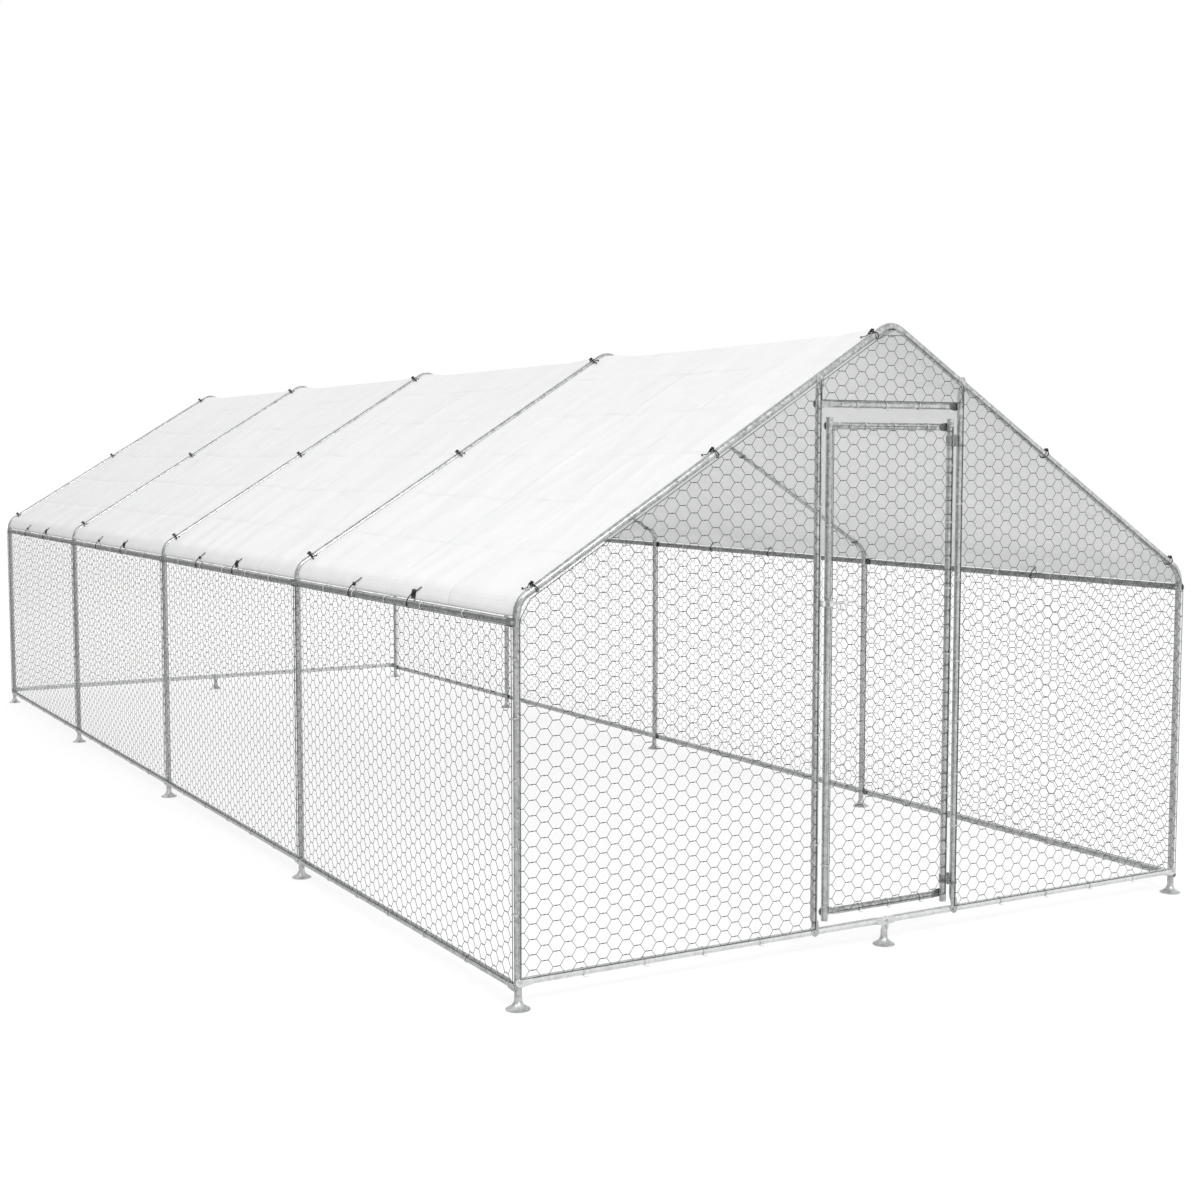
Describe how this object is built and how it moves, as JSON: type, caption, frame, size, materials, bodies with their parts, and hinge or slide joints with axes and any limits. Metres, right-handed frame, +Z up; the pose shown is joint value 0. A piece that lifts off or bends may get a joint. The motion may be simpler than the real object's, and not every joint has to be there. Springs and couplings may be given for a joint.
{
  "type": "chicken run",
  "caption": "Walk-in poultry run: gabled tube frame on round feet, hexagonal wire netting walls, tied white roof covers and a hinged netted door with a sliding bolt.",
  "frame": {"origin": "on the ground at the middle of the footprint", "axes": "+Z up, +Y along the run away from the door, +X to the right seen from the door's front"},
  "size_m": [3.055, 8.0646, 2.2333],
  "materials": {
    "tube": "galvanised",
    "pale_tube": "galvanised",
    "foot": "galvanised",
    "wire": "galvanised",
    "cover": "woven sheet",
    "eyelet": "satin",
    "tie": "matt",
    "buckle": "matt",
    "bolt": "zinc plated",
    "hinge": "dark zinc",
    "latch": "zinc plated"
  },
  "bodies": {
    "run": {"post_left_1": "tube", "post_left_2": "tube", "post_left_3": "tube", "post_left_4": "tube", "post_left_5": "tube", "post_right_1": "tube", "post_right_2": "tube", "post_right_3": "tube", "post_right_4": "tube", "post_right_5": "tube", "rafters_left": "tube", "rafters_right": "tube", "eave_elbows": "tube", "ridge_elbows": "tube", "eave_rails_left": "tube", "eave_rails_right": "tube", "base_rails_left": "tube", "base_rails_right": "tube", "ridge_poles": "tube", "door_post_left": "tube", "door_post_right": "tube", "door_header": "tube", "base_rails_front": "pale_tube", "base_rails_back": "pale_tube", "post_feet": "foot", "middle_feet": "foot", "net_left_1": "wire", "net_left_2": "wire", "net_left_3": "wire", "net_left_4": "wire", "net_right_1": "wire", "net_right_2": "wire", "net_right_3": "wire", "net_right_4": "wire", "net_front_left": "wire", "net_front_right": "wire", "net_front_top": "wire", "net_back": "wire", "cover_1": "cover", "cover_2": "cover", "cover_3": "cover", "cover_4": "cover", "cover_eyelets": "eyelet", "cover_ties": "tie", "cover_buckles": "buckle", "net_ties": "wire", "frame_bolts": "bolt", "frame_nuts": "bolt", "hinge_pintles": "hinge", "latch_keeper": "latch"},
    "door": {"door_stile_latch": "tube", "door_stile_hinge": "tube", "door_rail_top": "tube", "door_rail_bottom": "tube", "door_net": "wire", "door_rivets": "bolt", "hinge_eyes": "hinge", "latch_guide": "latch"},
    "bolt": {"latch_bolt": "latch"}
  },
  "joints": [
    {"name": "door_swing", "type": "hinge", "parent": "run", "child": "door", "pos_m": [0.2965, -3.9948, 0.2], "axis": [0, 0, 1], "range_deg": [0, 95]},
    {"name": "bolt_slide", "type": "slide", "parent": "door", "child": "bolt", "axis": [-1, 0, 0], "range_m": [0, 0.03]}
  ]
}
